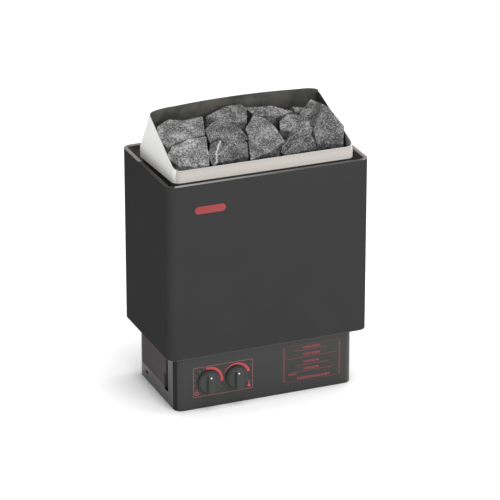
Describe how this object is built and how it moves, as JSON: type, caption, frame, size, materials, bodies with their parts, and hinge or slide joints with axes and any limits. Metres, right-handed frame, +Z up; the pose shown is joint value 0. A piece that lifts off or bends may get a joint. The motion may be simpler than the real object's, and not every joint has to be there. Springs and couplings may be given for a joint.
{
  "type": "sauna heater",
  "caption": "Wall-hung electric sauna heater: painted casing on a smaller base with timer and thermostat knobs, stainless steam collar with hood, heating elements among stones.",
  "frame": {"origin": "middle of the underside of the base, where the heater stands when it is off the wall", "axes": "+X to the right seen from the front, +Y from the front to the wall, +Z up"},
  "size_m": [0.41, 0.276, 0.5682],
  "materials": {
    "casing_paint": "satin anthracite powder coat",
    "stainless": "fine brushed stainless steel",
    "dark_steel": "heat-darkened steel",
    "zinc_plate": "zinc-plated sheet",
    "element_sheath": "dull steel sheath",
    "brass": "plain brass",
    "copper": "bare copper",
    "knob_plastic": "black moulded",
    "phenolic": "dark moulded",
    "ceramic": "unglazed",
    "nylon": "black nylon",
    "silicone": "silicone insulation",
    "red_plastic": "moulded red",
    "print_red": "thin red print",
    "print_white": "thin white print",
    "stone": "rough broken diabase"
  },
  "bodies": {
    "heater": {"outer_casing": "casing_paint", "base_housing": "casing_paint", "steam_collar": "stainless", "stone_chamber": "dark_steel", "stone_grate": "dark_steel", "element_rest": "dark_steel", "base_bottom_cover": "zinc_plate", "cover_screw_1": "zinc_plate", "cover_screw_2": "zinc_plate", "cover_screw_3": "zinc_plate", "cover_screw_4": "zinc_plate", "base_top_deck": "zinc_plate", "heat_shield": "zinc_plate", "sensor_clip_left": "zinc_plate", "sensor_clip_right": "zinc_plate", "casing_bracket_left": "zinc_plate", "casing_bracket_right": "zinc_plate", "wall_bracket": "zinc_plate", "heating_element_1": "element_sheath", "heating_element_2": "element_sheath", "heating_element_3": "element_sheath", "element_nut_1": "brass", "element_nut_2": "brass", "element_nut_3": "brass", "element_nut_4": "brass", "element_nut_5": "brass", "element_nut_6": "brass", "earth_stud": "brass", "link_bar_left": "copper", "link_bar_right": "copper", "thermostat_sensor": "copper", "limiter_sensor": "copper", "timer_body": "phenolic", "thermostat_body": "phenolic", "limiter_body": "phenolic", "terminal_block": "ceramic", "cable_gland": "nylon", "gland_nut": "nylon", "lead_supply_timer": "silicone", "lead_timer_thermostat": "silicone", "lead_thermostat_limiter": "silicone", "stone_row_front": "stone", "stone_row_back": "stone", "stone_left_front": "stone", "stone_left_back": "stone", "stone_front_left": "stone", "stone_middle_left": "stone", "stone_back_left": "stone", "stone_centre": "stone", "stone_front_right": "stone", "stone_middle_right": "stone", "stone_right": "stone", "stone_back_flat": "stone", "stone_back_small": "stone"},
    "timer_dial": {"timer_shaft": "zinc_plate", "timer_knob": "knob_plastic"},
    "thermostat_dial": {"thermostat_shaft": "zinc_plate", "thermostat_knob": "knob_plastic"},
    "reset": {"reset_button": "red_plastic"}
  },
  "joints": [
    {"name": "timer_turn", "type": "hinge", "parent": "heater", "child": "timer_dial", "pos_m": [-0.1155, -0.1, 0.054], "axis": [0, 1, 0], "range_deg": [0, 330]},
    {"name": "thermostat_turn", "type": "hinge", "parent": "heater", "child": "thermostat_dial", "pos_m": [-0.0585, -0.1, 0.054], "axis": [0, 1, 0], "range_deg": [-120, 120]},
    {"name": "reset_press", "type": "slide", "parent": "heater", "child": "reset", "axis": [0, 0, 1], "range_m": [0, 0.0025], "stiffness_N_per_m": 400}
  ]
}
